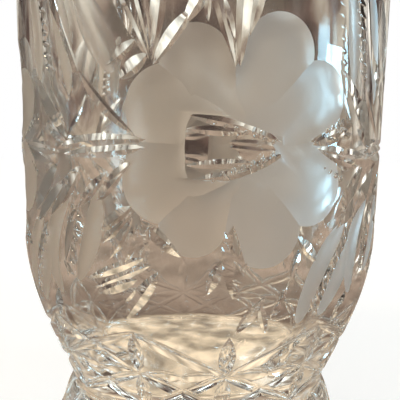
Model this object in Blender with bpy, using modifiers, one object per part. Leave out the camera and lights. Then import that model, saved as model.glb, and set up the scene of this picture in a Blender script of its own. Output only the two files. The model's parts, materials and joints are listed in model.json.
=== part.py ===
"""A cut-crystal mixing glass: a thick-walled bowl fused at its waist to a heavy foot.

Units are metres and +Z is up. The origin is the middle of the foot's ground underside.
One cut flower faces -Y, and the pouring lip points along +X.
"""

import math

import bmesh
import bpy
from mathutils import Matrix, Vector

# Heights above the underside of the foot
RIM_HEIGHT = 0.150
LIP_START_HEIGHT = 0.126
FLOWER_HEIGHT = 0.077
SHOULDER_HEIGHT = 0.056
INNER_CURVE_HEIGHT = 0.050
FLOOR_HEIGHT = 0.0213
WAIST_HEIGHT = 0.0152
FOOT_EDGE_HEIGHT = 0.0040

# Radii from the axis
FLOWER_RADIUS = 0.0468
WAIST_RADIUS = 0.0340
FOOT_RADIUS = 0.0390
FLOOR_RADIUS = 0.0265

SIDE_SLOPE = 0.022          # growth of the radius for each metre of height
WALL_AT_RIM = 0.0042
WALL_AT_SHOULDER = 0.0056
CORNER_SIZE = 0.0028         # of the tight curve between the inner floor and the inner wall
FUSED_JOINT_GAP = 0.0003
FOOT_CHAMFER = 0.0008

# Handles of the turned outline's curves: how far each lies out from and above its own end
CORNER_LOW_HANDLE = (0.6 * CORNER_SIZE, 0.0)
CORNER_HIGH_HANDLE = (-0.3 * CORNER_SIZE, -0.6 * CORNER_SIZE)
INNER_WALL_LOW_HANDLE = (0.0040, 0.0080)
INNER_WALL_HIGH_HANDLE = (-0.0008, -0.0127)
SHOULDER_HIGH_HANDLE = (-0.0004, -0.0190)
SHOULDER_LOW_HANDLE = (0.0006, 0.00645)
FLARE_HIGH_HANDLE = (0.0026, -0.0018)
FLARE_LOW_HANDLE = (-0.0028, 0.0048)

# Fineness
CORNER_STEPS = 3
INNER_WALL_STEPS = 5
SHOULDER_STEPS = 9
FLARE_STEPS = 6
RIM_STEPS = 6
TURNING_STEPS = 64
SHARP_ANGLE = math.radians(30)
MERGE_DISTANCE = 0.00001

# Pouring lip: pulled out along +X and pinched on both sides
LIP_REACH = 0.0085
LIP_DROP = 0.0020
LIP_HALF_ANGLE = 0.27
LIP_PINCH = 0.55            # how strongly the rim is drawn in beside the lip
LIP_ROWS = 5

# Cut flower: for each lobe, its direction (0 is along the girth, 90 is up) and its reach
FLOWER_COUNT = 4
FRONT_ANGLE = -math.pi / 2
LOBES = (
    (31, 0.0205), (66, 0.0205),
    (116, 0.0185), (151, 0.0160),
    (-157, 0.0158), (-119, 0.0172),
    (-69, 0.0165), (-24, 0.0172),
)
LOBE_HALF_WIDTH = 0.0076
LOBE_INNER_END = 0.0030
LOBE_DEPTH = 0.0011
CUTTER_THICKNESS = 0.010
CUTTER_SEGMENTS = 16

CRYSTAL_COLOUR = (0.93, 0.92, 0.88, 1.0)
CRYSTAL_ROUGHNESS = 0.03
CRYSTAL_IOR = 1.55


def clear_scene():
    for obj in list(bpy.data.objects):
        bpy.data.objects.remove(obj, do_unlink=True)


def new_collection(name):
    collection = bpy.data.collections.new(name)
    bpy.context.scene.collection.children.link(collection)
    return collection


def crystal_material(name):
    material = bpy.data.materials.new(name)
    material.use_nodes = True
    shader = material.node_tree.nodes["Principled BSDF"]
    shader.inputs["Base Color"].default_value = CRYSTAL_COLOUR
    shader.inputs["Roughness"].default_value = CRYSTAL_ROUGHNESS
    shader.inputs["Metallic"].default_value = 0.0
    shader.inputs["IOR"].default_value = CRYSTAL_IOR
    shader.inputs["Transmission Weight"].default_value = 1.0
    return material


def bezier(start, start_handle, end_handle, end, count):
    """Points along a cubic curve after its start, up to and with its end.

    Each handle is given from its own end of the curve.
    """
    corners = (
        start,
        (start[0] + start_handle[0], start[1] + start_handle[1]),
        (end[0] + end_handle[0], end[1] + end_handle[1]),
        end,
    )
    points = []
    for i in range(1, count + 1):
        t = i / count
        weights = ((1 - t) ** 3, 3 * t * (1 - t) ** 2, 3 * t * t * (1 - t), t ** 3)
        points.append(tuple(
            sum(w * c[axis] for w, c in zip(weights, corners)) for axis in range(2)
        ))
    return points


def outer_radius(height):
    """The tapered side above the shoulder."""
    return FLOWER_RADIUS + SIDE_SLOPE * (height - FLOWER_HEIGHT)


def inner_radius(height):
    share = (height - SHOULDER_HEIGHT) / (RIM_HEIGHT - SHOULDER_HEIGHT)
    return outer_radius(height) - WALL_AT_SHOULDER + share * (WALL_AT_SHOULDER - WALL_AT_RIM)


def rim_arc():
    """The rounded rim, from its inner side over the top to its outer side."""
    half_wall = WALL_AT_RIM / 2
    height = RIM_HEIGHT - half_wall
    middle = (outer_radius(height) + inner_radius(height)) / 2
    return [
        (middle - half_wall * math.cos(math.pi * i / RIM_STEPS),
         height + half_wall * math.sin(math.pi * i / RIM_STEPS))
        for i in range(RIM_STEPS + 1)
    ]


def bowl_profile():
    """(radius, height) from the middle of the inner floor, over the rim, to the waist."""
    lip_heights = [
        LIP_START_HEIGHT + (RIM_HEIGHT - WALL_AT_RIM - LIP_START_HEIGHT) * i / LIP_ROWS
        for i in range(LIP_ROWS + 1)
    ]
    inner_start = (inner_radius(INNER_CURVE_HEIGHT), INNER_CURVE_HEIGHT)
    floor_end = (FLOOR_RADIUS, FLOOR_HEIGHT)
    corner = (FLOOR_RADIUS + CORNER_SIZE, FLOOR_HEIGHT + CORNER_SIZE)
    inner_curve = bezier(
        floor_end, CORNER_LOW_HANDLE, CORNER_HIGH_HANDLE, corner, CORNER_STEPS,
    ) + bezier(
        corner, INNER_WALL_LOW_HANDLE, INNER_WALL_HIGH_HANDLE, inner_start, INNER_WALL_STEPS,
    )
    shoulder_start = (outer_radius(SHOULDER_HEIGHT), SHOULDER_HEIGHT)
    waist = (WAIST_RADIUS, WAIST_HEIGHT + FUSED_JOINT_GAP / 2)
    shoulder = bezier(
        shoulder_start, SHOULDER_HIGH_HANDLE, SHOULDER_LOW_HANDLE, waist, SHOULDER_STEPS,
    )
    return (
        [(0.0, FLOOR_HEIGHT), floor_end]
        + inner_curve
        + [(inner_radius(height), height) for height in lip_heights]
        + rim_arc()
        + [(outer_radius(height), height) for height in reversed(lip_heights)]
        + [shoulder_start]
        + shoulder
        + [(0.0, waist[1])]
    )


def foot_profile():
    """(radius, height) from the fused face at the waist down to the ground underside."""
    top = WAIST_HEIGHT - FUSED_JOINT_GAP / 2
    edge = (FOOT_RADIUS, FOOT_EDGE_HEIGHT)
    flare = bezier(
        (WAIST_RADIUS, top), FLARE_HIGH_HANDLE, FLARE_LOW_HANDLE, edge, FLARE_STEPS,
    )
    return (
        [(0.0, top), (WAIST_RADIUS, top)]
        + flare
        + [(FOOT_RADIUS, FOOT_CHAMFER), (FOOT_RADIUS - FOOT_CHAMFER, 0.0), (0.0, 0.0)]
    )


def turned_object(name, profile, collection, material):
    """A closed solid turned about +Z from its (radius, height) profile, as a plain mesh."""
    mesh = bpy.data.meshes.new(name + "_profile")
    mesh.from_pydata(
        [(radius, 0.0, height) for radius, height in profile],
        [(i, i + 1) for i in range(len(profile) - 1)],
        [],
    )
    guide = bpy.data.objects.new(name + "_profile", mesh)
    collection.objects.link(guide)
    screw = guide.modifiers.new("turn", "SCREW")
    screw.angle = 2 * math.pi
    screw.steps = TURNING_STEPS
    screw.render_steps = TURNING_STEPS
    screw.use_merge_vertices = True
    screw.merge_threshold = MERGE_DISTANCE
    bpy.context.view_layer.update()

    graph = bpy.context.evaluated_depsgraph_get()
    solid = bpy.data.meshes.new_from_object(guide.evaluated_get(graph))
    bpy.data.objects.remove(guide, do_unlink=True)
    solid.name = name
    solid.materials.clear()
    solid.materials.append(material)
    obj = bpy.data.objects.new(name, solid)
    collection.objects.link(obj)
    return obj


def smooth_step(share):
    share = min(max(share, 0.0), 1.0)
    return share * share * (3 - 2 * share)


def pulled_lip(point):
    """Where a point near the rim goes when the lip is pulled out along +X."""
    radius = math.hypot(point.x, point.y)
    rise = smooth_step((point.z - LIP_START_HEIGHT) / (RIM_HEIGHT - LIP_START_HEIGHT))
    if radius < WAIST_RADIUS or rise == 0.0:
        return point
    angle = math.atan2(point.y, point.x)
    across = (angle / LIP_HALF_ANGLE) ** 2
    pull = rise * LIP_REACH * (1 - LIP_PINCH * across) * math.exp(-0.5 * across)
    drop = rise * LIP_DROP * math.exp(-0.5 * across)
    radius += pull
    return Vector((radius * math.cos(angle), radius * math.sin(angle), point.z - drop))


def pull_lip(obj):
    for vertex in obj.data.vertices:
        vertex.co = pulled_lip(vertex.co)


def petal_cutter(name, flower_angle, direction, reach, collection):
    """A flattened ball that leaves one oval concave cut in the side of the bowl."""
    half_length = (reach + LOBE_HALF_WIDTH - LOBE_INNER_END) / 2
    distance = LOBE_INNER_END + half_length
    height = FLOWER_HEIGHT + distance * math.sin(direction)
    angle = flower_angle + distance * math.cos(direction) / FLOWER_RADIUS

    # The cut's outline is where the ball's cap of this height meets the wall.
    cap = LOBE_DEPTH / CUTTER_THICKNESS
    outline_share = math.sqrt(1 - (1 - cap) ** 2)
    outward = Vector((math.cos(angle), math.sin(angle), 0.0))
    sideways = Vector((-math.sin(angle), math.cos(angle), 0.0))
    upward = Vector((0.0, 0.0, 1.0))
    along = math.cos(direction) * sideways + math.sin(direction) * upward
    across = outward.cross(along)
    place = outward * (outer_radius(height) + CUTTER_THICKNESS - LOBE_DEPTH) + upward * height

    turn = Matrix((along, across, outward)).transposed().to_4x4()
    size = Matrix.Diagonal((
        half_length / outline_share, LOBE_HALF_WIDTH / outline_share, CUTTER_THICKNESS, 1.0,
    ))
    mesh = bpy.data.meshes.new(name)
    ball = bmesh.new()
    bmesh.ops.create_uvsphere(
        ball, u_segments=CUTTER_SEGMENTS, v_segments=CUTTER_SEGMENTS, radius=1.0,
        matrix=Matrix.Translation(place) @ turn @ size,
    )
    ball.to_mesh(mesh)
    ball.free()
    cutter = bpy.data.objects.new(name, mesh)
    cutter.hide_render = True
    cutter.display_type = "WIRE"
    collection.objects.link(cutter)


def cut_flowers(bowl, cutters):
    for flower in range(FLOWER_COUNT):
        flower_angle = FRONT_ANGLE + 2 * math.pi * flower / FLOWER_COUNT
        for number, (direction, reach) in enumerate(LOBES, 1):
            petal_cutter(
                f"petal_cutter_{flower + 1}_{number}",
                flower_angle, math.radians(direction), reach, cutters,
            )
    boolean = bowl.modifiers.new("cut_flowers", "BOOLEAN")
    boolean.operation = "DIFFERENCE"
    boolean.solver = "EXACT"
    boolean.operand_type = "COLLECTION"
    boolean.collection = cutters


def shade(obj):
    obj.data.shade_smooth()
    obj.data.set_sharp_from_angle(angle=SHARP_ANGLE)


def make_bowl(parts, cutters):
    bowl = turned_object("bowl", bowl_profile(), parts, crystal_material("bowl_crystal"))
    pull_lip(bowl)
    shade(bowl)
    cut_flowers(bowl, cutters)


def make_foot(parts):
    foot = turned_object("foot", foot_profile(), parts, crystal_material("foot_crystal"))
    shade(foot)


def main():
    clear_scene()
    parts = new_collection("mixing_glass")
    cutters = new_collection("cutters")
    cutters.hide_render = True
    make_bowl(parts, cutters)
    make_foot(parts)


main()
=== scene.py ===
"""Looks of the cut-crystal mixing glass: its cut decoration, its finishes and the studio.

Lengths are metres, except in the pattern, whose lengths are millimetres. A place in the
pattern is (along, up). along is measured round the girth from the middle of a flower, at the
flower's radius, and is positive to the right as seen from outside. up is the height above the
flower's middle. Every flower repeats the same pattern.
"""

import json
import math

import bmesh
import bpy
from mathutils import Matrix, Vector

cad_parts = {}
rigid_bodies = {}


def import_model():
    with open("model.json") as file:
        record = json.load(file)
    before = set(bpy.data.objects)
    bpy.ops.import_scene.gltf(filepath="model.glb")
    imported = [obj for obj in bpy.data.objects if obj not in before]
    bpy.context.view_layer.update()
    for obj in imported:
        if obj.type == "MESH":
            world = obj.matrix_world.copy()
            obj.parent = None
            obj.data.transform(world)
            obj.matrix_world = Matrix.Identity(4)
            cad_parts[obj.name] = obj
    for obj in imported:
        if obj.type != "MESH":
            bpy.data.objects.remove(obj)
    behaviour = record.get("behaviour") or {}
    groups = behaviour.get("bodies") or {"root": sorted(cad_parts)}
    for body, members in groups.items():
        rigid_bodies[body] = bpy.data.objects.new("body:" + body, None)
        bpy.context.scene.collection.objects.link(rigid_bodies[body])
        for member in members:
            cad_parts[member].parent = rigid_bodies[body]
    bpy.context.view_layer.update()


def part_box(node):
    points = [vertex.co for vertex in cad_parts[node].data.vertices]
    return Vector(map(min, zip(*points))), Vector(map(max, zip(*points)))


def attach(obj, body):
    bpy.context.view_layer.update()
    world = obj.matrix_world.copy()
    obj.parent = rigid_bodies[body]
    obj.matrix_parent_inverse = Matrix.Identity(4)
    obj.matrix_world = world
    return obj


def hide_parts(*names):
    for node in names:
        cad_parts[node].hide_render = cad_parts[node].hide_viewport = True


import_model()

MM = 0.001

# The CAD solids' own boxes give the heights and the foot's size.
BOWL_LOW, BOWL_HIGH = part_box("bowl")
FOOT_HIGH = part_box("foot")[1]
RIM_HEIGHT = BOWL_HIGH[2]
WAIST_TOP = BOWL_LOW[2]
WAIST_BOTTOM = FOOT_HIGH[2]
WAIST_HEIGHT = (WAIST_TOP + WAIST_BOTTOM) / 2
FOOT_RADIUS = FOOT_HIGH[1]

# The turned outline, as in the CAD part
FLOWER_HEIGHT = 0.077
SHOULDER_HEIGHT = 0.056
INNER_CURVE_HEIGHT = 0.050
FLOOR_HEIGHT = 0.0213
FOOT_EDGE_HEIGHT = 0.0040
FOOT_CHAMFER = 0.0008
FLOWER_RADIUS = 0.0468
WAIST_RADIUS = 0.0340
FLOOR_RADIUS = 0.0265
CORNER_SIZE = 0.0028         # of the tight curve between the inner floor and the inner wall
SIDE_SLOPE = 0.022           # growth of the radius for each metre of height
WALL_AT_RIM = 0.0042
WALL_AT_SHOULDER = 0.0056
LIP_START_HEIGHT = 0.126
LIP_REACH = 0.0085
LIP_DROP = 0.0020
LIP_HALF_ANGLE = 0.27        # radians from the lip's middle to where its pull fades
LIP_PINCH = 0.55             # how strongly the rim is drawn in beside the lip

# Handles of the outline's curves: how far each lies out from and above its own end
CORNER_LOW_HANDLE = (0.6 * CORNER_SIZE, 0.0)
CORNER_HIGH_HANDLE = (-0.3 * CORNER_SIZE, -0.6 * CORNER_SIZE)
INNER_WALL_LOW_HANDLE = (0.0040, 0.0080)
INNER_WALL_HIGH_HANDLE = (-0.0008, -0.0127)
SHOULDER_HIGH_HANDLE = (-0.0004, -0.0190)
SHOULDER_LOW_HANDLE = (0.0006, 0.00645)
FLARE_HIGH_HANDLE = (0.0026, -0.0018)
FLARE_LOW_HANDLE = (-0.0028, 0.0048)

# Fineness of the turned pieces
TURNING_STEPS = 288
SIDE_ROWS = 48
SHOULDER_ROWS = 26
INNER_ROWS = 24
INNER_WALL_ROWS = 16
CORNER_ROWS = 6
RIM_ROWS = 10
FLARE_ROWS = 14
OUTLINE_FLARE_ROWS = 40      # of the outline that radii are read from
OUTLINE_SHOULDER_ROWS = 80
MERGE_DISTANCE = 0.00001
SHARP_ANGLE = math.radians(35)
SLOPE_STEP = 0.0004          # half the height over which the wall's slope is measured

# Cutters
FRONT_ANGLE = -math.pi / 2
FLOWER_COUNT = 4
FLOWER_ANGLES = [FRONT_ANGLE + 2 * math.pi * i / FLOWER_COUNT for i in range(FLOWER_COUNT)]
GROOVE_STATIONS = 12
GROOVE_OVERRUN = 1.06        # how far a groove's cutter runs on past its tips
CUTTER_CLEARANCE = 0.0012    # how far a cutter stands proud of the wall
TIP_LEVEL = 0.02             # the least that a groove tapers to, so that its cutter stays whole
TIP_RISE = 0.0002            # how far its ends rise above the wall
DISH_RINGS = 7
DISH_SPOKES = 56
DISH_OVERRUN = 1.12          # how far a dish's cutter runs on past its edge
DISH_FLATNESS = 3.5          # near 2 makes a round hollow, and more a flat one with a steep edge
CUT_MARK = "cut_mark"        # the face layer that numbers the cuts

# For each form of groove: the section's places across, in half widths, and the exponent of
# its rise from the middle to the edge. The places run on a little past both edges, so that the
# cutter leaves the wall at a slope.
SECTIONS = {
    "mitre": ((-1.16, -0.6, 0.0, 0.6, 1.16), 1),
    "trough": ((-1.16, -0.8, -0.5, -0.22, 0.0, 0.22, 0.5, 0.8, 1.16), 2),
    "channel": ((-1.16, -1.0, -0.85, -0.65, -0.35, 0.35, 0.65, 0.85, 1.0, 1.16), 4),
}


def bezier(start, start_handle, end_handle, end, count):
    """Points along a cubic curve after its start, up to and with its end.

    Each handle is given from its own end of the curve.
    """
    corners = (
        start,
        (start[0] + start_handle[0], start[1] + start_handle[1]),
        (end[0] + end_handle[0], end[1] + end_handle[1]),
        end,
    )
    points = []
    for i in range(1, count + 1):
        t = i / count
        weights = ((1 - t) ** 3, 3 * t * (1 - t) ** 2, 3 * t * t * (1 - t), t ** 3)
        points.append(tuple(
            sum(w * c[axis] for w, c in zip(weights, corners)) for axis in range(2)
        ))
    return points


def side_radius(height):
    """The tapered side above the shoulder."""
    return FLOWER_RADIUS + SIDE_SLOPE * (height - FLOWER_HEIGHT)


def inner_radius(height):
    """The inner side of the wall above its corner curve."""
    share = (height - SHOULDER_HEIGHT) / (RIM_HEIGHT - SHOULDER_HEIGHT)
    return side_radius(height) - WALL_AT_SHOULDER + share * (WALL_AT_SHOULDER - WALL_AT_RIM)


def shoulder_curve(count):
    """The outer curve from the shoulder down to the waist."""
    start = (side_radius(SHOULDER_HEIGHT), SHOULDER_HEIGHT)
    end = (WAIST_RADIUS, WAIST_TOP)
    return bezier(start, SHOULDER_HIGH_HANDLE, SHOULDER_LOW_HANDLE, end, count)


def flare_curve(count):
    """The outer curve from the waist down to the foot's edge."""
    start = (WAIST_RADIUS, WAIST_BOTTOM)
    end = (FOOT_RADIUS, FOOT_EDGE_HEIGHT)
    return bezier(start, FLARE_HIGH_HANDLE, FLARE_LOW_HANDLE, end, count)


# The outline below the shoulder, from the underside up, fine enough to read radii from
LOWER_OUTLINE = (
    [(FOOT_RADIUS, 0.0)]
    + flare_curve(OUTLINE_FLARE_ROWS)[::-1]
    + shoulder_curve(OUTLINE_SHOULDER_ROWS)[::-1]
)


def outer_radius(height):
    """The outline's radius at any height, from the foot to the rim."""
    if height >= SHOULDER_HEIGHT:
        return side_radius(height)
    for (low_radius, low), (high_radius, high) in zip(LOWER_OUTLINE, LOWER_OUTLINE[1:]):
        if height <= high:
            share = (height - low) / max(high - low, MERGE_DISTANCE)
            return low_radius + share * (high_radius - low_radius)
    return side_radius(SHOULDER_HEIGHT)


def wall_frame(angle, height):
    """A place on the outer wall, with the wall's outward normal there."""
    radius = outer_radius(height)
    rise = outer_radius(height + SLOPE_STEP) - outer_radius(height - SLOPE_STEP)
    slope = rise / (2 * SLOPE_STEP)
    around = Vector((math.cos(angle), math.sin(angle), 0.0))
    up = Vector((0.0, 0.0, 1.0))
    return around * radius + up * height, (around - up * slope).normalized()


def pattern_frame(place, flower_angle):
    """The wall frame of a place in the pattern."""
    along, up = place
    return wall_frame(flower_angle + along * MM / FLOWER_RADIUS, FLOWER_HEIGHT + up * MM)


def blend(a, b, share):
    """The point that lies that share of the way from a to b."""
    return tuple(x + (y - x) * share for x, y in zip(a, b))


def path_point(path, share):
    """A point on the straight line through 2 places or the curve that passes through 3."""
    if len(path) == 2:
        return blend(path[0], path[1], share)
    start, middle, end = path
    handle = tuple(2 * m - (s + e) / 2 for s, m, e in zip(start, middle, end))
    return blend(blend(start, handle, share), blend(handle, end, share), share)


class Cutters:
    """Builds the cutting tools of one piece, and takes them all off it at once."""

    def __init__(self, name):
        self.collection = bpy.data.collections.new(name)
        bpy.context.scene.collection.children.link(self.collection)
        self.count = 0

    def add(self, shape, finish):
        """Keeps the shape, a bmesh, as one cutter that leaves that finish."""
        bmesh.ops.recalc_face_normals(shape, faces=shape.faces)
        self.count += 1
        mark = shape.faces.layers.int.new(CUT_MARK)
        for face in shape.faces:
            face[mark] = self.count
            face.smooth = True
        mesh = bpy.data.meshes.new(f"cutter_{self.count}")
        shape.to_mesh(mesh)
        shape.free()
        mesh.materials.append(finish)
        self.collection.objects.link(bpy.data.objects.new(mesh.name, mesh))

    def groove(
        self, stations, half_width, depth, finish, tips=(1.0, 1.0), blunt=1.0, form="trough",
    ):
        """A lens-shaped groove along stations, a list of (place, normal, share).

        share runs from -1 at one tip to 1 at the other. tips holds each end's exponent: 1
        makes a pointed tip, and 0.5 a round one. blunt under 1 turns the lens into a bar of
        nearly even width and depth. form names the section.
        """
        shape = bmesh.new()
        sides, power = SECTIONS[form]
        rows = []
        last = len(stations) - 1
        for i, (place, normal, share) in enumerate(stations):
            before, after = stations[max(i - 1, 0)][0], stations[min(i + 1, last)][0]
            across = normal.cross(after - before).normalized()
            fall = 1 - share * share
            level = max(fall, TIP_LEVEL) ** blunt
            tip = tips[0] + (tips[1] - tips[0]) * (share + 1) / 2
            width = half_width * level ** tip
            floor = depth * level
            section = [
                (side * width, floor * (abs(side) ** power - 1) if fall > 0 else TIP_RISE)
                for side in sides
            ]
            edge = section[-1][0]
            section += [(edge, CUTTER_CLEARANCE), (-edge, CUTTER_CLEARANCE)]
            rows.append([
                shape.verts.new(place + across * x + normal * h) for x, h in section
            ])
        size = len(rows[0])
        for near, far in zip(rows, rows[1:]):
            for k in range(size):
                j = (k + 1) % size
                shape.faces.new((near[k], near[j], far[j], far[k]))
        shape.faces.new(list(reversed(rows[0])))
        shape.faces.new(rows[-1])
        self.add(shape, finish)

    def wall_groove(self, path, half_width, depth, finish, flower_angle, **details):
        """A groove along a path of pattern places, with its sizes in millimetres too."""
        stations = []
        for i in range(GROOVE_STATIONS + 1):
            share = GROOVE_OVERRUN * (2 * i / GROOVE_STATIONS - 1)
            place, normal = pattern_frame(path_point(path, (share + 1) / 2), flower_angle)
            stations.append((place, normal, share))
        self.groove(stations, half_width * MM, depth * MM, finish, **details)

    def dish(self, middle, outline, depth, finish, flower_angle):
        """A concave cut whose edge is outline, a list of pattern places round middle."""
        shape = bmesh.new()

        def corner_at(corner, share, height):
            place, normal = pattern_frame(blend(middle, corner, share), flower_angle)
            return shape.verts.new(place + normal * height)

        shares = [ring / DISH_RINGS for ring in range(1, DISH_RINGS + 1)] + [DISH_OVERRUN]
        levels = [(share, depth * MM * (share ** DISH_FLATNESS - 1)) for share in shares]
        levels.append((DISH_OVERRUN, CUTTER_CLEARANCE))
        bottom = corner_at(middle, 0.0, -depth * MM)
        rings = [[corner_at(corner, *level) for corner in outline] for level in levels]
        lid = corner_at(middle, 0.0, CUTTER_CLEARANCE)
        size = len(outline)
        for k in range(size):
            j = (k + 1) % size
            shape.faces.new((bottom, rings[0][j], rings[0][k]))
            for near, far in zip(rings, rings[1:]):
                shape.faces.new((near[k], near[j], far[j], far[k]))
            shape.faces.new((lid, rings[-1][k], rings[-1][j]))
        self.add(shape, finish)

    def cut(self, piece):
        """Takes the cutters off the piece, keeps the result as its mesh, and removes them."""
        boolean = piece.modifiers.new("cuts", "BOOLEAN")
        boolean.operation = "DIFFERENCE"
        boolean.solver = "MANIFOLD"
        boolean.material_mode = "TRANSFER"
        boolean.operand_type = "COLLECTION"
        boolean.collection = self.collection
        graph = bpy.context.evaluated_depsgraph_get()
        result = bpy.data.meshes.new_from_object(piece.evaluated_get(graph))
        piece.modifiers.clear()
        piece.data = result
        for cutter in list(self.collection.objects):
            bpy.data.objects.remove(cutter, do_unlink=True)
        bpy.data.collections.remove(self.collection)


def turned_piece(name, profile, material):
    """A closed solid turned about +Z from its (radius, height) profile."""
    mesh = bpy.data.meshes.new(name + "_profile")
    mesh.from_pydata(
        [(radius, 0.0, height) for radius, height in profile],
        [(i, i + 1) for i in range(len(profile) - 1)],
        [],
    )
    guide = bpy.data.objects.new(name + "_profile", mesh)
    bpy.context.scene.collection.objects.link(guide)
    screw = guide.modifiers.new("turn", "SCREW")
    screw.angle = 2 * math.pi
    screw.steps = TURNING_STEPS
    screw.render_steps = TURNING_STEPS
    screw.use_merge_vertices = True
    screw.merge_threshold = MERGE_DISTANCE
    bpy.context.view_layer.update()
    graph = bpy.context.evaluated_depsgraph_get()
    solid = bpy.data.meshes.new_from_object(guide.evaluated_get(graph))
    bpy.data.objects.remove(guide, do_unlink=True)

    body = bmesh.new()
    body.from_mesh(solid)
    bmesh.ops.recalc_face_normals(body, faces=body.faces)
    body.to_mesh(solid)
    body.free()
    solid.name = name
    solid.materials.clear()
    solid.materials.append(material)
    piece = bpy.data.objects.new(name, solid)
    bpy.context.scene.collection.objects.link(piece)
    return piece


def rim_arc():
    """The rounded rim, from its inner side over the top to its outer side."""
    half_wall = WALL_AT_RIM / 2
    height = RIM_HEIGHT - half_wall
    middle = (side_radius(height) + inner_radius(height)) / 2
    return [
        (middle - half_wall * math.cos(math.pi * i / RIM_ROWS),
         height + half_wall * math.sin(math.pi * i / RIM_ROWS))
        for i in range(RIM_ROWS + 1)
    ]


def bowl_profile():
    """(radius, height) from the middle of the inner floor, over the rim, to the waist."""
    top = RIM_HEIGHT - WALL_AT_RIM
    inner_heights = [
        INNER_CURVE_HEIGHT + (top - INNER_CURVE_HEIGHT) * i / INNER_ROWS
        for i in range(1, INNER_ROWS + 1)
    ]
    outer_heights = [
        top + (SHOULDER_HEIGHT - top) * i / SIDE_ROWS for i in range(SIDE_ROWS + 1)
    ]
    floor_end = (FLOOR_RADIUS, FLOOR_HEIGHT)
    corner = (FLOOR_RADIUS + CORNER_SIZE, FLOOR_HEIGHT + CORNER_SIZE)
    inner_start = (inner_radius(INNER_CURVE_HEIGHT), INNER_CURVE_HEIGHT)
    inner_curve = bezier(
        floor_end, CORNER_LOW_HANDLE, CORNER_HIGH_HANDLE, corner, CORNER_ROWS,
    ) + bezier(
        corner, INNER_WALL_LOW_HANDLE, INNER_WALL_HIGH_HANDLE, inner_start, INNER_WALL_ROWS,
    )
    return (
        [(0.0, FLOOR_HEIGHT), floor_end]
        + inner_curve
        + [(inner_radius(height), height) for height in inner_heights]
        + rim_arc()
        + [(side_radius(height), height) for height in outer_heights]
        + shoulder_curve(SHOULDER_ROWS)
        + [(0.0, WAIST_TOP)]
    )


def foot_profile():
    """(radius, height) from the fused face at the waist down to the ground underside."""
    return (
        [(0.0, WAIST_BOTTOM), (WAIST_RADIUS, WAIST_BOTTOM)]
        + flare_curve(FLARE_ROWS)
        + [(FOOT_RADIUS, FOOT_CHAMFER), (FOOT_RADIUS - FOOT_CHAMFER, 0.0), (0.0, 0.0)]
    )


def smooth_step(share):
    """Eases a share between 0 and 1."""
    share = min(max(share, 0.0), 1.0)
    return share * share * (3 - 2 * share)


def pull_lip(piece):
    """Pulls the lip out along +X, as in the CAD part."""
    for vertex in piece.data.vertices:
        point = vertex.co
        radius = math.hypot(point.x, point.y)
        rise = smooth_step((point.z - LIP_START_HEIGHT) / (RIM_HEIGHT - LIP_START_HEIGHT))
        if radius < WAIST_RADIUS or rise == 0.0:
            continue
        angle = math.atan2(point.y, point.x)
        across = (angle / LIP_HALF_ANGLE) ** 2
        bell = math.exp(-across / 2)
        radius += rise * LIP_REACH * (1 - LIP_PINCH * across) * bell
        drop = rise * LIP_DROP * bell
        vertex.co = (radius * math.cos(angle), radius * math.sin(angle), point.z - drop)


def shade(piece):
    """Smooth faces, with hard edges round every cut and at the piece's own corners."""
    piece.data.shade_smooth()
    body = bmesh.new()
    body.from_mesh(piece.data)
    mark = body.faces.layers.int.get(CUT_MARK)
    for edge in body.edges:
        if len(edge.link_faces) != 2:
            continue
        a, b = edge.link_faces
        turned = edge.calc_face_angle(0.0)
        edge.smooth = (mark is None or a[mark] == b[mark]) and turned < SHARP_ANGLE
    body.to_mesh(piece.data)
    body.free()


# ---------------------------------------------------------------- pattern

# Flower lobes: direction (0 is along the girth, 90 is up), distance of the middle, and radius
LOBES = (
    (151, 15.6, 8.3), (117, 18.3, 6.9), (66, 20.3, 7.4), (31, 20.2, 7.2),
    (-24, 17.3, 8.5), (-69, 16.5, 8.2), (-120, 16.7, 6.8), (-156, 15.5, 8.6),
)
LOBE_DEPTH = 0.65
LOBE_SHARPNESS = 5           # how narrowly a lobe is drawn out towards the flower's middle
EYE_STEP = 0.15              # step in which a lobe's edge draws back from the eye

# The clear eye left in the middle of the flower
EYE = (
    (11.6, 0.5), (8.0, 1.6), (4.3, 3.2), (0.2, 5.0), (-4.6, 6.6), (-8.6, 6.8), (-9.9, 3.6),
    (-10.1, 0.0), (-9.9, -4.0), (-9.0, -7.2), (-6.2, -7.6), (-0.4, -6.0), (5.5, -3.1), (8.6, -1.0),
)

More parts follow.
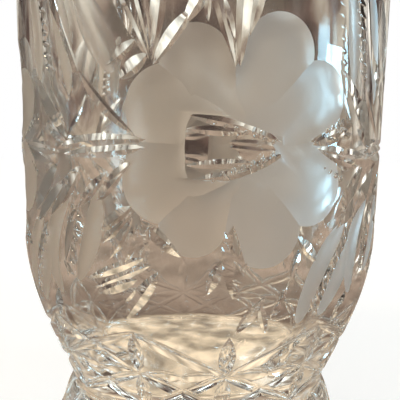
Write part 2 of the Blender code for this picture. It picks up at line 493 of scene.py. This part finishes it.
# Clear mitre cuts: the places that the cut passes and its half width
MITRES = (
    # along the eye's edges
    (((-10.2, 3.6), (2.6, 3.0)), 1.0),
    (((-9.6, 6.2), (3.6, 3.8)), 1.0),
    (((-3.0, 5.4), (4.2, 3.0), (11.6, 0.6)), 1.0),
    (((-10.0, -3.4), (3.4, -2.6)), 1.0),
    (((-9.4, -6.4), (3.6, -4.4)), 1.0),
    (((-3.0, -6.0), (4.6, -3.2), (11.6, 0.3)), 1.0),
    # between the upper lobes
    (((0.1, 13.8), (1.2, 40.0)), 1.6),
    (((-0.7, 15.2), (-6.8, 36.0)), 1.1),
    (((-1.0, 20.0), (-3.6, 28.5)), 0.9),
    (((1.6, 20.0), (6.0, 38.0)), 1.2),
    (((-10.6, 22.6), (-5.4, 31.5)), 1.5),
    (((-6.0, 23.0), (-6.6, 33.0)), 0.8),
    # between the lower lobes
    (((-0.3, -13.2), (0.1, -30.0)), 2.6),
    (((-5.4, -29.0), (-2.4, -21.6)), 1.3),
    (((0.0, -19.6), (-2.3, -15.8)), 0.6),
    (((0.0, -19.6), (2.3, -15.8)), 0.6),
    (((0.0, -23.0), (-2.8, -18.6)), 0.6),
    (((0.0, -23.0), (2.8, -18.6)), 0.6),
    (((0.0, -26.6), (-2.8, -22.0)), 0.6),
    (((0.0, -26.6), (2.8, -22.0)), 0.6),
    # fan from the upper left notch
    (((-16.9, 16.2), (-26.6, 33.5)), 1.2),
    (((-16.9, 17.2), (-23.0, 36.0)), 1.0),
    (((-16.7, 17.8), (-19.8, 38.0)), 1.0),
    (((-16.6, 16.0), (-14.2, 36.0)), 1.6),
    (((-16.4, 15.4), (-8.8, 26.0)), 1.7),
    (((-17.1, 17.8), (-23.5, 12.8)), 1.6),
    (((-19.6, 20.4), (-26.8, 15.2)), 1.3),
    # the long stem and the leaves on its left
    (((-44.0, 40.0), (-36.8, 21.0), (-32.4, 14.4)), 1.5),
    (((-33.4, 15.8), (-27.2, 8.2), (-20.2, 2.6)), 1.1),
    (((-39.0, 25.0), (-35.7, 16.5)), 1.0),
    (((-48.9, 16.0), (-35.7, 0.6)), 1.8),
    (((-41.9, 12.4), (-36.9, 1.6)), 1.3),
    # stems to the left
    (((-40.0, -0.6), (-30.0, 1.2), (-15.6, 1.4)), 1.3),
    (((-38.0, -1.6), (-27.0, -1.0), (-15.4, 0.2)), 1.2),
    (((-36.4, -6.2), (-49.6, -17.4)), 1.6),
    (((-26.4, -5.0), (-33.4, -12.4)), 1.3),
    (((-22.0, -4.2), (-29.6, -11.6)), 1.3),
    (((-20.0, -2.4), (-27.0, -7.6)), 1.0),
    # fan below the left lobes
    (((-20.4, -11.4), (-28.4, -17.2)), 1.5),
    (((-20.4, -12.6), (-27.4, -19.4)), 1.0),
    (((-20.4, -13.6), (-25.8, -22.6)), 1.2),
    (((-20.2, -15.2), (-22.6, -23.6)), 1.5),
    (((-19.6, -15.0), (-17.6, -23.0)), 1.6),
    (((-19.0, -14.2), (-10.4, -21.4)), 1.5),
    # fan to the right
    (((16.0, 0.8), (26.8, 4.6)), 1.5),
    (((16.4, 0.4), (25.0, -0.6), (35.0, -1.2)), 1.3),
    (((17.2, 0.0), (31.8, -3.6)), 1.3),
    (((23.4, -14.6), (33.8, -3.4)), 2.0),
    (((30.7, -15.0), (41.0, -3.6)), 1.9),
    (((28.6, 11.0), (36.8, 3.5)), 2.0),
    (((30.0, 4.6), (36.8, 0.6)), 1.2),
    # round the lower leaves
    (((9.8, -31.6), (11.9, -28.0)), 1.0),
    (((9.0, -34.8), (10.8, -30.8)), 1.0),
    (((13.4, -17.2), (19.6, -23.6)), 1.3),
    (((14.0, -20.0), (12.6, -26.2)), 1.1),
    (((1.0, -38.0), (7.2, -29.4)), 1.3),
    (((5.8, -30.8), (8.4, -38.0)), 1.0),
    (((28.4, -38.6), (31.6, -31.0)), 1.5),
    (((-22.8, -31.2), (-19.8, -27.9)), 1.1),
    (((-23.4, -35.6), (-14.7, -24.0)), 1.7),
    (((-32.0, -27.4), (-16.8, -21.2)), 1.1),
    (((-30.4, -29.2), (-16.4, -23.0)), 1.0),
    (((-29.6, -30.2), (-19.4, -26.2)), 1.4),
    # veins of the satin leaves
    (((27.8, 34.0), (31.0, 22.0), (32.8, 10.0)), 1.0),
    (((29.8, -15.6), (23.4, -25.0), (18.8, -35.4)), 1.0),
    (((-32.6, -9.0), (-36.4, -18.0), (-37.6, -28.0)), 1.2),
)
MITRE_DEPTH = 0.65           # depth as a share of the half width
DEEPEST_MITRE = 1.2

# A broad soft hollow beside the upper stem: places, half width, depth, tips' exponents
HOLLOW = (((-34.5, 34.0), (-28.2, 22.0), (-24.0, 14.0)), 3.6, 0.6, (0.8, 0.8))

# Satin leaf halves: the spine's places, the half width, the depth and the two tips' exponents
LEAF_HALVES = (
    (((27.9, -14.6), (20.3, -24.5), (16.2, -37.2)), 2.9, 0.6, (0.9, 0.5)),
    (((31.4, -17.0), (27.0, -26.5), (22.2, -36.0)), 2.7, 0.6, (0.9, 0.5)),
    (((-36.0, -10.5), (-42.6, -20.5), (-40.4, -32.5)), 2.7, 0.6, (0.8, 0.5)),
    (((-28.6, -7.4), (-30.0, -18.0), (-34.6, -28.5)), 2.5, 0.6, (0.9, 0.6)),
    (((24.6, 36.0), (27.0, 24.0), (27.6, 12.4)), 2.3, 0.6, (0.6, 0.9)),
    (((31.6, 36.5), (36.0, 24.0), (38.0, 9.6)), 2.6, 0.6, (0.6, 0.9)),
)

# Short notches cut across a vein or an edge: the row's places, count, length and half width
NOTCH_ROWS = (
    (((28.4, 32.0), (32.2, 15.0)), 7, 4.4, 0.8),
    (((29.0, -17.2), (19.4, -33.8)), 8, 4.4, 0.8),
    (((-34.0, -12.0), (-37.4, -27.0)), 6, 4.4, 0.8),
    (((19.4, 3.4), (27.0, 6.8)), 5, 1.8, 0.7),
    (((18.0, -2.6), (25.8, -6.4)), 5, 1.8, 0.7),
    (((-5.0, 5.4), (8.6, 1.2)), 7, 2.2, 0.6),
    (((-5.6, -6.4), (8.0, -1.2)), 7, 2.2, 0.6),
)
NOTCH_DEPTH = 0.55
NOTCH_LEAN = math.radians(60)    # between a notch and its row

# Ring of stars round the shoulder: three to each flower, at listed angles
STAR_ANGLES = tuple(math.radians(degrees) for degrees in (-27.0, 0.0, 30.0))
STAR_UP = -48.7              # height of the stars' middles, then of their top and bottom points
STAR_TOP = -38.4
STAR_FOOT = -58.4
STAR_BAR = (1.35, 1.6)       # half width and depth
STAR_BAR_BLUNTNESS = 0.35
STAR_LENS = (1.9, 1.2)       # half width and depth
STAR_LENS_REACH = 0.55       # of the way to the neighbour, so that two lenses overlap a little
REAR_LIMIT = 0.8             # sine of the angle past which a star is at the rear
REAR_DEPTH_SHARE = 0.2       # the rear stars are faint, and hardly show through the front

# Flutes round the foot
FLUTE_COUNT = 24
FLUTE_LOW = 3.0              # height of the flutes' lower tips above the underside
FLUTE_OVERRUN = 0.6          # how far the flutes run up past the waist
FLUTE = (3.4, 1.2)           # half width and depth


def polar(middle, distance, angle):
    """The place at that distance and angle from middle."""
    return middle[0] + distance * math.cos(angle), middle[1] + distance * math.sin(angle)


def lobe_outline(direction, distance, radius):
    """A lobe's middle and its edge.

    The edge is an egg: a circle outside, drawn out towards the flower's middle as far as the
    eye.
    """
    middle = polar((0.0, 0.0), distance, math.radians(direction))
    inward = math.radians(direction) + math.pi
    outline = []
    for k in range(DISH_SPOKES):
        angle = 2 * math.pi * k / DISH_SPOKES
        towards = max(math.cos(angle - inward), 0.0) ** LOBE_SHARPNESS
        reach = radius + (distance - radius) * towards
        while lies_within(polar(middle, reach, angle), EYE):
            reach -= EYE_STEP
        outline.append(polar(middle, reach, angle))
    return middle, outline


def lies_within(place, outline):
    """Whether a place lies within a closed outline."""
    x, y = place
    within = False
    for (x1, y1), (x2, y2) in zip(outline, outline[1:] + outline[:1]):
        if (y1 > y) != (y2 > y) and x < x1 + (y - y1) / (y2 - y1) * (x2 - x1):
            within = not within
    return within


def cut_flower(cutters, flower_angle, satin):
    for direction, distance, radius in LOBES:
        middle, outline = lobe_outline(direction, distance, radius)
        cutters.dish(middle, outline, LOBE_DEPTH, satin, flower_angle)


def cut_leaves(cutters, flower_angle, satin):
    for path, half_width, depth, tips in LEAF_HALVES:
        cutters.wall_groove(path, half_width, depth, satin, flower_angle, tips=tips)


def cut_mitres(cutters, flower_angle, polished):
    for path, half_width in MITRES:
        depth = min(half_width * MITRE_DEPTH, DEEPEST_MITRE)
        cutters.wall_groove(path, half_width, depth, polished, flower_angle, form="mitre")


def cut_hollow(cutters, flower_angle, soft):
    path, half_width, depth, tips = HOLLOW
    cutters.wall_groove(path, half_width, depth, soft, flower_angle, tips=tips)


def cut_notches(cutters, flower_angle, polished):
    for path, count, length, half_width in NOTCH_ROWS:
        (x1, y1), (x2, y2) = path
        heading = math.atan2(y2 - y1, x2 - x1) + NOTCH_LEAN
        for i in range(count):
            middle = blend(path[0], path[1], (i + 0.5) / count)
            ends = (polar(middle, -length / 2, heading), polar(middle, length / 2, heading))
            cutters.wall_groove(ends, half_width, NOTCH_DEPTH, polished, flower_angle)


def cut_star(cutters, star_angle, reach, large, next_large, depth_share, polished):
    """One star of the ring, with the bars and lenses towards its right neighbour.

    reach is the distance to that neighbour. A bar runs up to the top of every star but a
    large one, which lies under a flower.
    """
    middle, top, foot = (0.0, STAR_UP), (0.0, STAR_TOP), (0.0, STAR_FOOT)
    next_middle, next_top, next_foot = (reach, STAR_UP), (reach, STAR_TOP), (reach, STAR_FOOT)
    bars = [(middle, next_foot), (foot, next_middle)]
    if not next_large:
        bars.append((middle, next_top))
    if not large:
        bars.append((top, next_middle))
    half_width, depth = STAR_BAR
    for bar in bars:
        cutters.wall_groove(
            bar, half_width, depth * depth_share, polished, star_angle,
            blunt=STAR_BAR_BLUNTNESS, form="channel",
        )
    lenses = (
        (middle, top),
        (middle, foot),
        (middle, blend(middle, next_middle, STAR_LENS_REACH)),
        (blend(middle, next_middle, 1 - STAR_LENS_REACH), next_middle),
    )
    half_width, depth = STAR_LENS
    for lens in lenses:
        cutters.wall_groove(lens, half_width, depth * depth_share, polished, star_angle)


def cut_star_ring(cutters, polished):
    """The whole ring. A star is large where it lies under a flower."""
    stars = [
        (flower_angle + star_angle, star_angle == 0.0)
        for flower_angle in FLOWER_ANGLES for star_angle in STAR_ANGLES
    ]
    first_angle, first_large = stars[0]
    following = stars[1:] + [(first_angle + 2 * math.pi, first_large)]
    for (angle, large), (next_angle, next_large) in zip(stars, following):
        reach = (next_angle - angle) * FLOWER_RADIUS / MM
        depth_share = REAR_DEPTH_SHARE if math.sin(angle) > REAR_LIMIT else 1.0
        cut_star(cutters, angle, reach, large, next_large, depth_share, polished)


def cut_foot(cutters, polished):
    """Flutes round the foot's flare."""
    low = (0.0, FLUTE_LOW - FLOWER_HEIGHT / MM)
    high = (0.0, FLUTE_OVERRUN + (WAIST_HEIGHT - FLOWER_HEIGHT) / MM)
    for i in range(FLUTE_COUNT):
        angle = FRONT_ANGLE + 2 * math.pi * (i + 0.5) / FLUTE_COUNT
        cutters.wall_groove((low, high), *FLUTE, polished, angle)


# ---------------------------------------------------------------- materials

CRYSTAL_COLOUR = (0.985, 0.975, 0.955, 1.0)
SATIN_COLOUR = (0.80, 0.78, 0.75, 1.0)
CRYSTAL_IOR = 1.55
RELIEF_DETAIL = 3.0
RELIEF_STRENGTH = 0.5
NEARLY_UPRIGHT = 0.99        # the least rise of a flat face's normal

# Sockets of a Mix node, which share their names and so are told apart by their places
FLOAT_A, FLOAT_B, FLOAT_RESULT = 2, 3, 0
COLOUR_A, COLOUR_B, COLOUR_RESULT = 6, 7, 2

# Fine surface relief: the noise's scale and its height in metres
WAVES = (60.0, 0.0002)
WHEEL_MARKS = (160.0, 0.00005)
GRAIN = (2500.0, 0.00002)


def add_noise(nodes, links, place, scale, detail):
    """A noise texture read at that place. Gives the output that holds its value."""
    noise = nodes.new("ShaderNodeTexNoise")
    noise.inputs["Scale"].default_value = scale
    noise.inputs["Detail"].default_value = detail
    links.new(place, noise.inputs["Vector"])
    return noise.outputs["Fac"]


def add_range(nodes, links, value, given, wanted=(0.0, 1.0)):
    """Maps a value from the given range onto the wanted one, and holds it at the ends."""
    node = nodes.new("ShaderNodeMapRange")
    node.inputs["From Min"].default_value, node.inputs["From Max"].default_value = given
    node.inputs["To Min"].default_value, node.inputs["To Max"].default_value = wanted
    links.new(value, node.inputs["Value"])
    return node.outputs["Result"]


def add_ramp(nodes, links, value, stops):
    """Turns a value into a colour, from stops of (position, colour)."""
    node = nodes.new("ShaderNodeValToRGB")
    elements = node.color_ramp.elements
    while len(elements) < len(stops):
        elements.new(0.5)
    for element, (position, colour) in zip(elements, stops):
        element.position = position
        element.color = (*colour, 1.0)
    links.new(value, node.inputs["Fac"])
    return node.outputs["Color"]


def glass_material(name, colour, roughness, transmission, relief):
    """Glass with a procedural relief: waves on polished faces, and grain on satin ones."""
    relief_scale, relief_height = relief
    material = bpy.data.materials.new(name)
    material.use_nodes = True
    nodes, links = material.node_tree.nodes, material.node_tree.links
    shader = nodes["Principled BSDF"]
    shader.inputs["Base Color"].default_value = colour
    shader.inputs["Roughness"].default_value = roughness
    shader.inputs["IOR"].default_value = CRYSTAL_IOR
    shader.inputs["Transmission Weight"].default_value = transmission
    place = nodes.new("ShaderNodeTexCoord")
    relief_noise = add_noise(nodes, links, place.outputs["Object"], relief_scale, RELIEF_DETAIL)
    bump = nodes.new("ShaderNodeBump")
    bump.inputs["Strength"].default_value = RELIEF_STRENGTH
    bump.inputs["Distance"].default_value = relief_height
    links.new(relief_noise, bump.inputs["Height"])
    links.new(bump.outputs["Normal"], shader.inputs["Normal"])
    return material


def seam_material():
    """The fused joint, where light passes from the bowl into the foot unbent."""
    material = bpy.data.materials.new("fused_seam")
    material.use_nodes = True
    nodes, links = material.node_tree.nodes, material.node_tree.links
    nodes.remove(nodes["Principled BSDF"])
    clear = nodes.new("ShaderNodeBsdfTransparent")
    links.new(clear.outputs["BSDF"], nodes["Material Output"].inputs["Surface"])
    return material


def give_inside(piece, finish):
    """The finish of the bowl's inside, which stirring has dulled a little."""
    piece.data.materials.append(finish)
    slot = len(piece.data.materials) - 1
    for face in piece.data.polygons:
        x, y, z = face.center
        above_floor = z > FLOOR_HEIGHT - MERGE_DISTANCE
        if above_floor and math.hypot(x, y) < inner_radius(z) + MERGE_DISTANCE:
            face.material_index = slot


def give_seam(piece, seam, height):
    """The seam's material on the flat faces at the fused joint's height."""
    piece.data.materials.append(seam)
    slot = len(piece.data.materials) - 1
    for face in piece.data.polygons:
        if abs(face.center.z - height) < MERGE_DISTANCE and abs(face.normal.z) > NEARLY_UPRIGHT:
            face.material_index = slot


# ---------------------------------------------------------------- pieces


def make_bowl(crystal, inside, polished, soft, satin, seam):
    """The bowl with its flowers, leaves, mitre cuts and ring of stars."""
    bowl = turned_piece("bowl_glass", bowl_profile(), crystal)
    give_inside(bowl, inside)
    cutters = Cutters("bowl_cutters")
    for angle in FLOWER_ANGLES:
        cut_flower(cutters, angle, satin)
        cut_leaves(cutters, angle, satin)
        cut_mitres(cutters, angle, polished)
        cut_hollow(cutters, angle, soft)
        cut_notches(cutters, angle, polished)
    cut_star_ring(cutters, polished)
    cutters.cut(bowl)
    pull_lip(bowl)
    shade(bowl)
    give_seam(bowl, seam, WAIST_TOP)
    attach(bowl, "root")
    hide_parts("bowl")
    return bowl


def make_foot(crystal, polished, seam):
    """The solid foot with its flutes."""
    foot = turned_piece("foot_glass", foot_profile(), crystal)
    cutters = Cutters("foot_cutters")
    cut_foot(cutters, polished)
    cutters.cut(foot)
    shade(foot)
    give_seam(foot, seam, WAIST_BOTTOM)
    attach(foot, "root")
    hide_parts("foot")
    return foot


# ---------------------------------------------------------------- studio

# What the glass sees of the room: from dark furnishings to bright walls
ROOM_NOISE_SCALE = 3.4
ROOM_NOISE_DETAIL = 2.5
ROOM_NOISE_ROUGHNESS = 0.6
ROOM_SHIFT = (0.6, 4.1, 1.3)     # picks the stretch of noise
ROOM_STOPS = (
    (0.42, (0.022, 0.008, 0.010)),
    (0.465, (0.13, 0.070, 0.055)),
    (0.51, (0.42, 0.34, 0.26)),
    (0.57, (0.64, 0.58, 0.48)),
    (0.63, (1.30, 1.22, 1.05)),
    (0.70, (2.20, 2.10, 1.90)),
)
SKY_TINT = (0.84, 1.0, 1.16, 1.0)
SKY_RANGE = (0.0, 0.8)           # rise of the direction over which the tint grows
FRONT_TONE = (0.58, 0.49, 0.38, 1.0)
FRONT_RANGE = (0.2, -0.8)        # Y of the direction over which the room turns an even tone

# The floor as light bounces meet it, which glows with painted light: a painted warm pool of light
# under the glass, and a painted darker shade round it
FLOOR_HALF = 3.0
FLOOR_DROP = 0.0001              # keeps the floor clear of the foot's underside
PAINTED_LIGHT_POOL_STOPS = (
    (0.036, (0.86, 0.70, 0.50)),
    (0.070, (0.17, 0.115, 0.085)),
    (0.14, (0.37, 0.28, 0.215)),
)
PAINTED_LIGHT_POOL_EDGE = (0.045, 0.080)       # distances over which the glints give way to the shades
# Painted glints of light in the pool and painted shades round it. Each one's noise scale and
# detail, the noise's range, and the strength it gives
PAINTED_GLINTS = ((95.0, 2.0), (0.38, 0.64), (0.48, 1.60))
PAINTED_SHADES = ((13.0, 2.0), (0.36, 0.64), (0.6, 1.4))

# The floor, as the camera sees it: evenly pale far out, with a painted contact shadow, a dimmer
# glow, near the foot
PALE_COLOUR = (1.0, 0.995, 0.985, 1.0)
# Painted contact shadow: the glow is dimmer near the foot and brightens over these distances
PAINTED_SHADOW_RANGE = (0.06, 0.50)        # distances over which it brightens
PALE_STRENGTH_WITH_PAINTED_SHADOW = (1.20, 1.38)
SHADED_COLOUR = (0.90, 0.90, 0.89, 1.0)
SHADED_SHARE = 0.35

# Lights: place, size, power and colour. Each is a rectangle that faces the bowl
LIGHTS = {
    "window": ((0.53, -0.20, 0.06), (0.12, 0.24), 1.9, (0.44, 0.79, 1.0)),
    "fill": ((-0.40, -0.30, 0.10), (0.55, 0.55), 0.75, (1.0, 0.84, 0.62)),
    "lamp": ((-0.25, -0.10, 0.55), (0.08, 0.08), 0.8, (1.0, 0.86, 0.64)),
    "back_lamp": ((0.30, 0.60, 0.50), (0.08, 0.08), 0.8, (0.60, 0.86, 1.0)),
}

# The camera, close to the wall and level with the flowers' middles
CAMERA_DISTANCE = 0.151          # from the bowl's axis
CAMERA_AZIMUTH = math.radians(-8.6)
CAMERA_PITCH = math.radians(5.43)
CAMERA_ROLL = math.radians(0.9)
CAMERA_LENS = 49.2               # millimetres, on the default 36 mm sensor
CAMERA_CLIP_START = 0.005

GLASS_BOUNCES = 24               # through both walls and their cuts, and back
GLOSSY_BOUNCES = 12


def mix_colour(nodes, links, share, colour, other, blend_type):
    """Mixes the other colour into the colour of an output. Gives the mixed output."""
    node = nodes.new("ShaderNodeMix")
    node.data_type = "RGBA"
    node.blend_type = blend_type
    links.new(share, node.inputs["Factor"])
    links.new(colour, node.inputs[COLOUR_A])
    node.inputs[COLOUR_B].default_value = other
    return node.outputs[COLOUR_RESULT]


def camera_only(nodes, links, for_camera, for_others):
    """Mixes two shaders: one that the camera sees and one that light bounces meet."""
    path = nodes.new("ShaderNodeLightPath")
    mix = nodes.new("ShaderNodeMixShader")
    links.new(path.outputs["Is Camera Ray"], mix.inputs["Fac"])
    links.new(for_others.outputs[0], mix.inputs[1])
    links.new(for_camera.outputs[0], mix.inputs[2])
    return mix


def make_world():
    """A white studio to the camera, and a warm room with darker furnishings to the glass."""
    world = bpy.data.worlds.new("studio")
    bpy.context.scene.world = world
    world.use_nodes = True
    nodes, links = world.node_tree.nodes, world.node_tree.links
    nodes.clear()
    direction = nodes.new("ShaderNodeTexCoord").outputs["Generated"]
    shift = nodes.new("ShaderNodeMapping")
    shift.inputs["Location"].default_value = ROOM_SHIFT
    links.new(direction, shift.inputs["Vector"])
    noise = add_noise(
        nodes, links, shift.outputs["Vector"], ROOM_NOISE_SCALE, ROOM_NOISE_DETAIL,
    )
    noise.node.inputs["Roughness"].default_value = ROOM_NOISE_ROUGHNESS
    axes = nodes.new("ShaderNodeSeparateXYZ")
    links.new(direction, axes.inputs["Vector"])
    sky_share = add_range(nodes, links, axes.outputs["Z"], SKY_RANGE)
    front_share = add_range(nodes, links, axes.outputs["Y"], FRONT_RANGE)
    furnished = add_ramp(nodes, links, noise, ROOM_STOPS)
    cooled = mix_colour(nodes, links, sky_share, furnished, SKY_TINT, "MULTIPLY")
    toned = mix_colour(nodes, links, front_share, cooled, FRONT_TONE, "MIX")
    room = nodes.new("ShaderNodeBackground")
    links.new(toned, room.inputs["Color"])
    white = nodes.new("ShaderNodeBackground")
    white.inputs["Color"].default_value = (1.0, 1.0, 1.0, 1.0)
    white.inputs["Strength"].default_value = 1.0
    output = nodes.new("ShaderNodeOutputWorld")
    mix = camera_only(nodes, links, white, room)
    links.new(mix.outputs[0], output.inputs["Surface"])


def painted_light_floor_shader(nodes, links, place, distance):
    """The glowing floor that light bounces meet: a painted warm pool of light with painted glints,
    and painted shades round it.
    """
    # Painted light: the floor glows, with a painted pool of light, painted glints and painted
    # shades
    warm = nodes.new("ShaderNodeEmission")
    pool = add_ramp(nodes, links, distance, PAINTED_LIGHT_POOL_STOPS)
    links.new(pool, warm.inputs["Color"])
    strengths = []
    for (scale, detail), given, wanted in (PAINTED_GLINTS, PAINTED_SHADES):
        noise = add_noise(nodes, links, place, scale, detail)
        strengths.append(add_range(nodes, links, noise, given, wanted))
    mix = nodes.new("ShaderNodeMix")
    links.new(add_range(nodes, links, distance, PAINTED_LIGHT_POOL_EDGE), mix.inputs["Factor"])
    links.new(strengths[0], mix.inputs[FLOAT_A])
    links.new(strengths[1], mix.inputs[FLOAT_B])
    links.new(mix.outputs[FLOAT_RESULT], warm.inputs["Strength"])
    return warm


def studio_shader(nodes, links, distance):
    """The pale floor that the camera sees: it glows, dimmer near the foot as a painted contact
    shadow, and its diffuse share takes a soft shadow.
    """
    pale = nodes.new("ShaderNodeEmission")
    pale.inputs["Color"].default_value = PALE_COLOUR
    # Painted shadow: the glow is weaker near the foot
    strength = add_range(nodes, links, distance, PAINTED_SHADOW_RANGE, PALE_STRENGTH_WITH_PAINTED_SHADOW)
    links.new(strength, pale.inputs["Strength"])
    shaded = nodes.new("ShaderNodeBsdfDiffuse")
    shaded.inputs["Color"].default_value = SHADED_COLOUR
    mix = nodes.new("ShaderNodeMixShader")
    mix.inputs["Fac"].default_value = SHADED_SHARE
    links.new(pale.outputs["Emission"], mix.inputs[1])
    links.new(shaded.outputs["BSDF"], mix.inputs[2])
    return mix


def make_floor():
    """A plain floor: pale to the camera, with a painted contact shadow near the foot, and to the
    glass a glowing floor of painted light.
    """
    half = FLOOR_HALF
    mesh = bpy.data.meshes.new("floor")
    mesh.from_pydata(
        [(-half, -half, 0.0), (half, -half, 0.0), (half, half, 0.0), (-half, half, 0.0)],
        [], [(0, 1, 2, 3)],
    )
    floor = bpy.data.objects.new("floor", mesh)
    bpy.context.scene.collection.objects.link(floor)
    floor.location.z = -FLOOR_DROP
    material = bpy.data.materials.new("pale_floor")
    material.use_nodes = True
    nodes, links = material.node_tree.nodes, material.node_tree.links
    nodes.remove(nodes["Principled BSDF"])
    place = nodes.new("ShaderNodeTexCoord").outputs["Object"]
    length = nodes.new("ShaderNodeVectorMath")
    length.operation = "LENGTH"
    links.new(place, length.inputs[0])
    distance = length.outputs["Value"]
    studio = studio_shader(nodes, links, distance)
    # The floor that light bounces meet glows with painted light
    bounce_floor_with_painted_light = painted_light_floor_shader(nodes, links, place, distance)
    mix = camera_only(nodes, links, studio, bounce_floor_with_painted_light)
    links.new(mix.outputs[0], nodes["Material Output"].inputs["Surface"])
    mesh.materials.append(material)


def make_light(name, place, size, power, colour):
    """A soft light that faces the middle of the bowl."""
    light = bpy.data.lights.new(name, "AREA")
    light.shape = "RECTANGLE"
    light.size, light.size_y = size
    light.energy = power
    light.color = colour
    obj = bpy.data.objects.new(name, light)
    obj.location = place
    aim = Vector((0.0, 0.0, FLOWER_HEIGHT)) - obj.location
    obj.rotation_euler = aim.to_track_quat("-Z", "Y").to_euler()
    bpy.context.scene.collection.objects.link(obj)


def make_camera():
    """Close to the wall, a little to the left of the front flower and looking slightly down."""
    camera = bpy.data.cameras.new("camera")
    camera.lens = CAMERA_LENS
    camera.clip_start = CAMERA_CLIP_START
    obj = bpy.data.objects.new("camera", camera)
    x, y = polar((0.0, 0.0), CAMERA_DISTANCE, CAMERA_AZIMUTH + FRONT_ANGLE)
    obj.matrix_world = (
        Matrix.Translation((x, y, FLOWER_HEIGHT))
        @ Matrix.Rotation(CAMERA_AZIMUTH, 4, "Z")
        @ Matrix.Rotation(math.pi / 2 - CAMERA_PITCH, 4, "X")
        @ Matrix.Rotation(CAMERA_ROLL, 4, "Z")
    )
    bpy.context.scene.collection.objects.link(obj)
    bpy.context.scene.camera = obj


def set_render():
    """Plain colours, and enough bounces for light to cross the glass."""
    scene = bpy.context.scene
    scene.view_settings.view_transform = "Standard"
    scene.cycles.max_bounces = GLASS_BOUNCES
    scene.cycles.transmission_bounces = GLASS_BOUNCES
    scene.cycles.glossy_bounces = GLOSSY_BOUNCES


crystal = glass_material(
    "crystal", CRYSTAL_COLOUR, roughness=0.0, transmission=1.0, relief=WAVES,
)
inside = glass_material(
    "inner_crystal", CRYSTAL_COLOUR, roughness=0.05, transmission=1.0, relief=WAVES,
)
polished = glass_material(
    "cut_crystal", CRYSTAL_COLOUR, roughness=0.0, transmission=1.0, relief=WHEEL_MARKS,
)
soft = glass_material(
    "soft_crystal", CRYSTAL_COLOUR, roughness=0.26, transmission=0.9, relief=WAVES,
)
satin = glass_material(
    "satin_crystal", SATIN_COLOUR, roughness=0.34, transmission=0.6, relief=GRAIN,
)
seam = seam_material()
make_bowl(crystal, inside, polished, soft, satin, seam)
make_foot(crystal, polished, seam)
make_world()
make_floor()
for light_name, light_details in LIGHTS.items():
    make_light(light_name, *light_details)
make_camera()
set_render()
